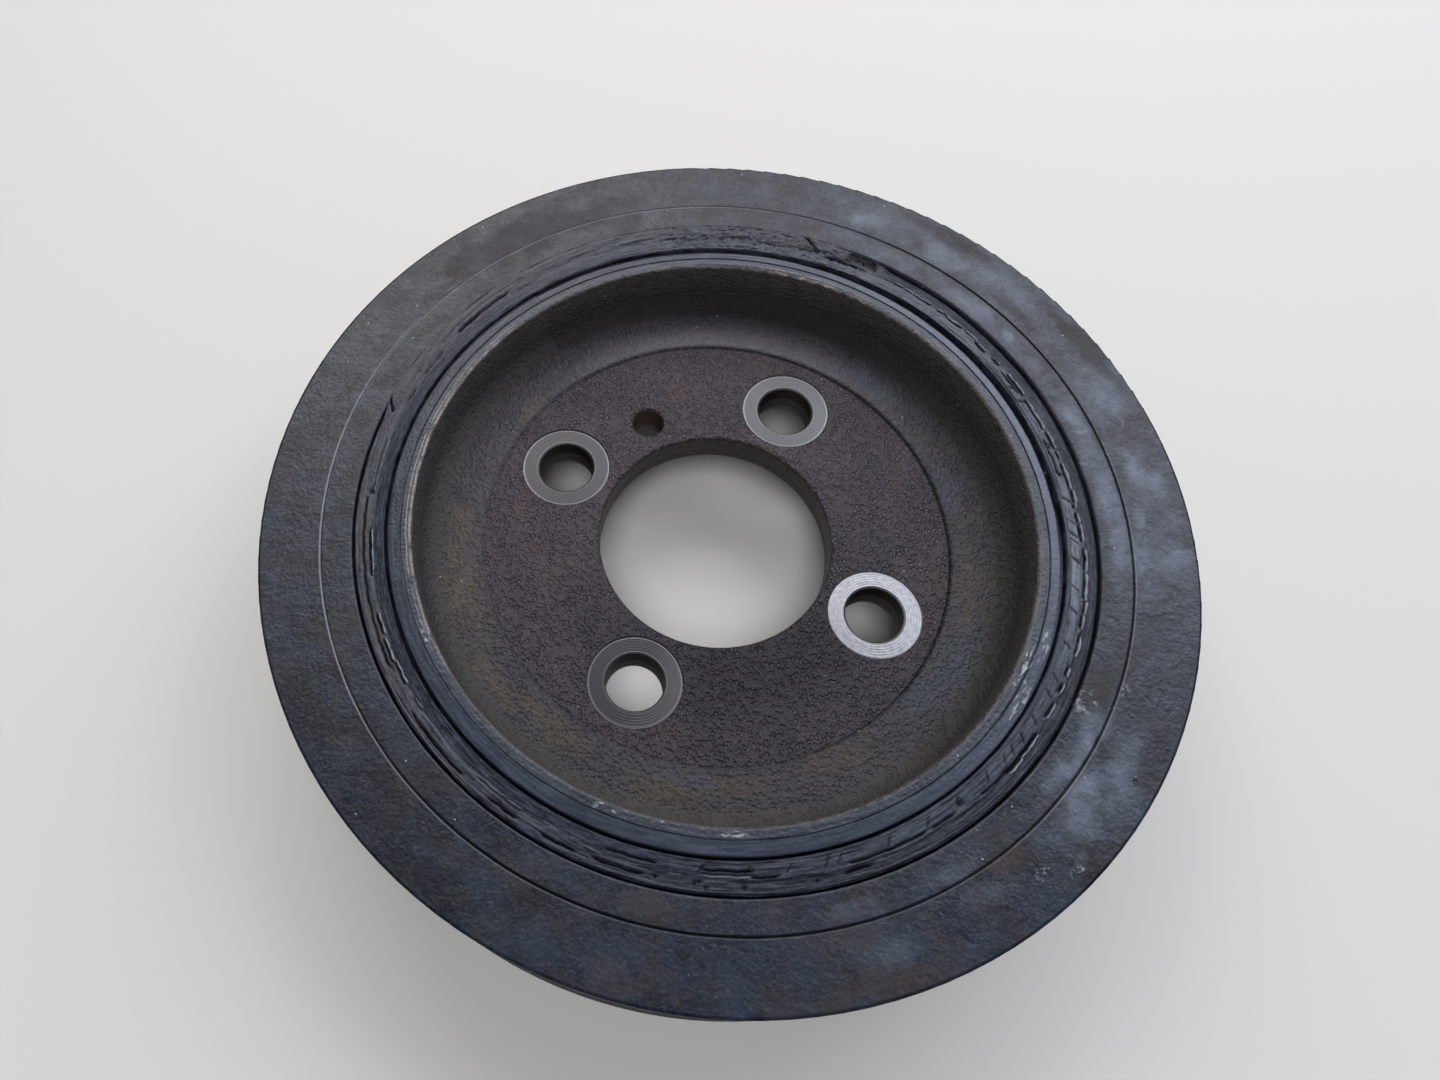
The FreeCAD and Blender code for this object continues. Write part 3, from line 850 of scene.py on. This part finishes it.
def raised_plates(turn, radius):
    """Height of the plates inside the tear, and the masks of their tops and of their joints.

    The joints slant with the radius. Each plate between two joints has a random level, its sides are
    smooth ramps, and a bell-shaped trough runs along its inner edge."""
    joints = np.array(PLATE_JOINTS)
    slanted = (turn - joints[0]) % 360 + joints[0] + 0.7 * (radius - PLATE_R[0])
    number = np.searchsorted(joints, slanted)
    levels = np.random.default_rng(5).uniform(0.02, 0.2, len(joints) + 1)
    to_joint = np.abs(slanted[..., None] - joints).min(axis=-1)
    has_plates = ((number > 0) & (number < len(joints))).astype(float)
    in_strip = ramp(radius, PLATE_R[0] - 0.06, PLATE_R[0] + 0.1) * has_plates
    in_strip = in_strip * (1 - ramp(radius, PLATE_R[1] - 0.08, PLATE_R[1] + 0.08))
    tops = in_strip * ramp(to_joint, 0.1, 0.3)
    trough = has_plates * bell(radius - PLATE_R[0] + 0.12, 0.14)
    return tops * levels[number] - 0.12 * trough, tops, in_strip * (1 - ramp(to_joint, 0.08, 0.3))


def torn_front(turn, radius):
    """Relief of the rubber's front in millimetres, and its masks of wear, dirt, painted shade and painted
    light by name.

    The relief is the sum of the step at the tear, slivers, cracks, plates, grit, flow lines and crumbs
    of tar."""
    filled = stretch(turn, *FILLED, 3)
    proud = ramp(np.cos(np.radians(turn - PROUD_AT)), -0.4, 0.4)
    step, lower = torn_step(turn, radius, proud, 1 - filled)
    slivers, lightened, beside = raised_slivers(turn, radius, proud)
    depth, cracked = cracks_and_pits(turn, radius)
    plates, tops, joints = raised_plates(turn, radius)

    crest = bell(radius - 62.8 - 0.3 * np.sin(np.radians(turn * 23)), 0.5)
    gritty = filled * ramp(turn, 56, 62) * (1 - ramp(turn, 92, 100)) * (0.5 + 0.5 * crest)
    grit = grain_field(11, 0.5, 0.5) * (0.02 + 0.1 * gritty)
    flow = grain_field(12, 9, 0.5) * 0.04
    tarry = stretch(turn, *TAR, 0.8) * ramp(radius, 63.4, 64.0)
    crumbs = tarry * np.clip(grain_field(13, 0.9, 0.7), -0.6, 1.6) * 0.28
    dusty = np.clip(0.5 + 0.5 * grain_field(14, 6, 0.7), 0, 1)
    dusty *= bell(turn_gap(turn, DUSTIEST_AT), 28) * ramp(radius, 62.5, 63.2) + 0.35 * filled
    patchy = np.clip(0.7 + 0.3 * grain_field(15, 2, 0.8), 0, 1)
    masks = {
        # Crests of the slivers: paler torn rubber with a painted highlight
        "lightened": lightened,
        # Painted sheen: the inner strip lighter towards one side of the turn
        "painted_sheen": (1 - ramp(radius, 62.4, 63.2)) * (0.5 + 0.5 * np.cos(np.radians(turn - SHEEN_AT))),
        "matt": (1 - ramp(radius, 62.2, 62.8)) * (0.5 + 0.5 * np.cos(np.radians(turn - MATT_AT))),
        "gritty": gritty,
        "pale": tops * bell(turn_gap(turn, PALEST_AT), 14) * patchy,
        # Painted shade in cracks, pits, gashes and plate joints, and beside the raised slivers
        "recess_shade": np.maximum.reduce([beside, cracked, 0.8 * joints]),
        "dusty": np.clip(dusty, 0, 1),
        "tarry": tarry,
        "lower": lower,
    }
    return step + slivers - depth + plates + grit + flow + crumbs, masks


def rubber_grid():
    """Radius and height of every point of the rubber, and the masks of its front.

    One row of columns goes round the section: across the front, down the outer channel and the waved
    outer wall, over the hollow rear face, and up the waved inner wall and the inner channel. Across
    the front the columns crowd together at the tear: they are as dense as 1 plus a bell curve there."""
    turn = np.linspace(0, 360, ROUND, endpoint=False)[:, None]
    one = np.ones_like(turn)
    filled = stretch(turn, *FILLED, 3)
    tighter = sum(depth * bell(turn_gap(turn, angle), width) for angle, width, depth in TIGHTER)
    inner = HUB_RIM_R + INNER_CHANNEL + HUB_GAP - tighter
    gap = OUTER_CHANNEL - 0.08 + LOOSER[2] * bell(turn_gap(turn, LOOSER[0]), LOOSER[1])
    outer = RING_BORE_R - gap * (1 - filled) + 0.35 * filled
    density = 1 + 1.3 * bell(np.linspace(-0.56, 0.44, ACROSS), 0.2)
    share = np.concatenate([[0], np.cumsum(density[1:])])[None, :]
    radius = inner + (outer - inner) * share / share[0, -1]
    height, masks = torn_front(np.broadcast_to(turn, radius.shape), radius)
    # Painted shade of the gap at the rubber's inner edge, added to the shade in the cracks
    rubber_gap_shade = (1 - ramp(radius, inner + 0.1, inner + 0.35)) * bell(turn_gap(turn, 40), 70)
    masks["recess_shade"] = np.maximum(masks["recess_shade"], rubber_gap_shade)
    bead = 0.5 * BEAD * (1 - ramp(radius, inner, inner + 0.2))
    bead += BEAD * (1 - filled) * ramp(radius, outer - 0.3, outer)
    lifted = (RUBBER_SINK + 0.1) * filled * ramp(radius, 62, 65.5)
    front_z = np.minimum(TOP_Z - RUBBER_SINK + height - bead + lifted, TOP_Z - 0.02)

    floor_z = TOP_Z - RUBBER_SINK - CHANNEL_DEPTH
    outer_floor_z = floor_z + (CHANNEL_DEPTH - 0.2) * filled
    wall_r = np.minimum(outer, RING_BORE_R - 0.02)
    half_wave = WAVE_LENGTH / 2
    middle_z = (RUBBER_REAR_Z + floor_z) / 2
    wave = [(0, floor_z), (0, middle_z + half_wave), (WAVE_HEIGHT, middle_z), (0, middle_z - half_wave)]
    columns = [(wall_r, (TOP_Z - OUTER_SHOULDER) * one), (wall_r, outer_floor_z)]
    columns += [(RING_BORE_R * one, outer_floor_z)]
    columns += [((RING_BORE_R + out) * one, z * one) for out, z in wave]
    for step in np.linspace(0, 1, 5):
        hollow = REAR_HOLLOW * (1 - (2 * step - 1) ** 2)
        columns.append(((RING_BORE_R - RUBBER_WALL * step) * one, (RUBBER_REAR_Z + hollow) * one))
    columns += [((HUB_RIM_R + out) * one, z * one) for out, z in reversed(wave)]
    columns += [(inner, floor_z * one), (inner, (TOP_Z - INNER_SHOULDER) * one)]
    all_r = np.concatenate([radius] + [r for r, z in columns], axis=1)
    all_z = np.concatenate([front_z] + [z for r, z in columns], axis=1)
    return np.radians(turn), all_r, all_z, masks


def closed_grid(name, points):
    """Mesh from a grid of points that closes on itself both ways, with its faces outwards."""
    rounds, columns = points.shape[:2]
    index = np.arange(rounds * columns).reshape(rounds, columns)
    next_round = np.roll(index, -1, axis=0)
    next_column = np.roll(index, -1, axis=1)
    corner = np.roll(next_round, -1, axis=1)
    faces = np.stack([index, next_column, corner, next_round], axis=-1).reshape(-1, 4)
    mesh = bpy.data.meshes.new(name)
    mesh.from_pydata(points.reshape(-1, 3).tolist(), [], faces[:, ::-1].tolist())
    mesh.shade_smooth()
    return mesh


def torn_damping_ring():
    """Rubber ring whose front skin is torn, as a closed grid with masks of wear, dirt, painted shade and
    painted light on each point.
    """
    turn, radius, z, masks = rubber_grid()
    points = np.stack([radius * np.cos(turn), radius * np.sin(turn), z], axis=-1) * MM
    mesh = closed_grid("torn_damping_ring", points)
    for name, mask in masks.items():
        values = np.zeros(points.shape[:2], np.float32)
        values[:, :ACROSS] = mask
        attribute = mesh.attributes.new(name, "FLOAT", "POINT")
        attribute.data.foreach_set("value", values.ravel())
    ring = bpy.data.objects.new("torn_damping_ring", mesh)
    bpy.context.scene.collection.objects.link(ring)
    return ring


def perished_rubber():
    """Moulded black rubber that has perished: satin where whole, paler where freshly torn.

    Dust sits on it in brown streaks, and the tar by the gash is glossy."""
    material, tree = new_finish("perished_rubber")
    place, flat = coordinates(tree)[:2]
    masks = {}
    for name in ("lightened", "painted_sheen", "matt", "gritty", "pale", "recess_shade", "dusty", "tarry", "lower"):
        masks[name] = add(tree, "ShaderNodeAttribute", output="Fac", attribute_name=name)
    edge = band(tree, masks["lightened"], 0.4, 2, 0.2)
    strip = unrolled(tree, drifted(tree, flat, 3, 0.25), (FILLED[0] + FILLED[1]) / 2, TEAR_R)
    along = add(tree, "ShaderNodeVectorMath", {0: strip, 1: (0.12, 1, 1)}, operation="MULTIPLY")
    lumps = add(tree, "ShaderNodeTexNoise", {"Vector": place, "Scale": 1 / GRIT_GRAIN, "Detail": 3})
    rugged = add(tree, "ShaderNodeMath", {0: masks["gritty"], 1: masks["tarry"]}, operation="MAXIMUM")
    lumps = overlap(tree, lumps, rugged)
    pale_wash = overlap(tree, masks["dusty"], cloud(tree, place, 1.2, 0.4, 0.2))
    torn = overlap(tree, masks["lower"], cloud(tree, place, 1.5, 0.35, 0.15))
    colour = layered(
        tree, "RGBA", linear("#12161f"),
        (cloud(tree, place, 5, 0.5, 0.2), 1.0, "#1d222e"),
        (cloud(tree, place, 0.7, 0.55, 0.1), 0.35, "#363d4b"),
        # Painted sheen: the inner strip lighter towards one side of the turn
        (masks["painted_sheen"], 0.6, "#4a505d"),
        (cloud(tree, along, 0.45, 0.54, 0.08), 0.4, "#4a5160"),
        (cloud(tree, along, 0.5, 0.58, 0.08, 17), 0.7, "#06070a"),
        (masks["lower"], 0.3, "#1b1f27"),
        (masks["pale"], 0.6, "#767c8c"),
        # Crests of the slivers: paler torn rubber with a painted highlight on them
        (masks["lightened"], 0.5, "#6f747c"),
        (edge, 0.65, "#8d939f"),
        (pale_wash, 0.45, "#625a53"),
        # Painted shade in the cracks, pits, gashes, plate joints and the gap by the hub
        (masks["recess_shade"], 0.95, "#040405"),
        (masks["tarry"], 1.0, "#08080a"),
    )
    rough = layered(
        tree, "FLOAT", 0.45,
        (torn, 1.0, 0.6),
        (masks["matt"], 1.0, 0.6),
        (pale_wash, 1.0, 0.65),
        (masks["tarry"], 1.0, 0.3),
    )
    sheen = layered(
        tree, "FLOAT", 0.5,
        (torn, 1.0, 0.4),
        (masks["matt"], 1.0, 0.2),
        (masks["recess_shade"], 1.0, 0.05),
        (masks["tarry"], 1.0, 0.15),
    )
    fine = add(tree, "ShaderNodeTexNoise", {"Vector": place, "Scale": 1 / SKIN_GRAIN, "Detail": 3})
    inputs = {"Base Color": colour, "Roughness": rough, "Specular IOR Level": sheen}
    shade(tree, inputs | {"Normal": embossed(tree, (fine, 0.08), (lumps, 0.9))})
    return material


def dress(piece, material):
    """Put one material on a piece in place of what it has."""
    piece.data.materials.clear()
    piece.data.materials.append(material)


def look_through_the_lens():
    """Camera at the eye point: level and facing +Y, then headed, dipped and rolled."""
    data = bpy.data.cameras.new("photo_camera")
    data.sensor_width = SENSOR
    data.lens = LENS
    data.shift_x = SHIFT_X
    data.clip_start = 0.005
    camera = bpy.data.objects.new("photo_camera", data)
    bpy.context.scene.collection.objects.link(camera)
    turn = Matrix.Rotation(HEADING, 4, "Z")
    dip = Matrix.Rotation(math.pi / 2 - DIP, 4, "X")
    roll = Matrix.Rotation(ROLL, 4, "Z")
    camera.matrix_world = Matrix.Translation(EYE) @ turn @ dip @ roll
    bpy.context.scene.camera = camera


def soft_box(name, angle, elevation, distance, width, power, tint):
    """Square soft light at an angle round the pulley and an elevation, facing it."""
    data = bpy.data.lights.new(name, "AREA")
    data.size = width
    data.energy = power
    data.color = linear(tint)[:3]
    lamp = bpy.data.objects.new(name, data)
    bpy.context.scene.collection.objects.link(lamp)
    turn = math.radians(angle)
    rise = math.radians(elevation)
    way = Vector((math.cos(turn) * math.cos(rise), math.sin(turn) * math.cos(rise), math.sin(rise)))
    facing = (-way).to_track_quat("-Z", "Y").to_matrix().to_4x4()
    lamp.matrix_world = Matrix.Translation(way * distance) @ facing
    return lamp


def plain_room():
    """Dim ceiling with pale walls: the world is pale near the horizon and darker overhead."""
    world = bpy.data.worlds.new("room")
    bpy.context.scene.world = world
    world.use_nodes = True
    tree = world.node_tree
    tree.nodes.clear()
    way = add(tree, "ShaderNodeTexCoord", output="Generated")
    rise = add(tree, "ShaderNodeSeparateXYZ", {0: way}, "Z")
    share = add(tree, "ShaderNodeMapRange", {"Value": rise, "From Min": 0.22, "From Max": 0.5})
    colour = layered(tree, "RGBA", linear("#ececec"), (share, 1.0, "#585e6c"))
    light = add(tree, "ShaderNodeBackground", {"Color": colour, "Strength": 1.0})
    output = tree.nodes.new("ShaderNodeOutputWorld")
    tree.links.new(light, output.inputs["Surface"])


def pale_floor():
    """Plain pale floor under the pulley."""
    mesh = bpy.data.meshes.new("floor")
    mesh.from_pydata([(-2, -2, 0), (2, -2, 0), (2, 2, 0), (-2, 2, 0)], [], [(0, 1, 2, 3)])
    floor = bpy.data.objects.new("floor", mesh)
    bpy.context.scene.collection.objects.link(floor)
    material, tree = new_finish("pale_floor")
    shade(tree, {"Base Color": linear("#cfcdc9"), "Roughness": 0.9})
    dress(floor, material)


look_through_the_lens()
bpy.context.scene.view_settings.view_transform = "Standard"
plain_room()
pale_floor()
# Two lamps beyond the pulley, and one beside the camera that lights the floor through the bore and
# puts no shine on the iron
soft_box("key", 46, 44, 0.8, 0.6, 3.9, "#f0f4ff")
soft_box("fill", 106, 46, 0.8, 0.5, 3.0, "#fffaf4")
glow = soft_box("through", 255, 66, 0.8, 0.3, 2.8, "#ffffff")
glow.visible_glossy = False

dress(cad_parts["pulley_ring"], coated_iron())
dress(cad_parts["hub"], cast_hub_iron())
rubber = torn_damping_ring()
dress(rubber, perished_rubber())
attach(rubber, "root")
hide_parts("damping_ring")
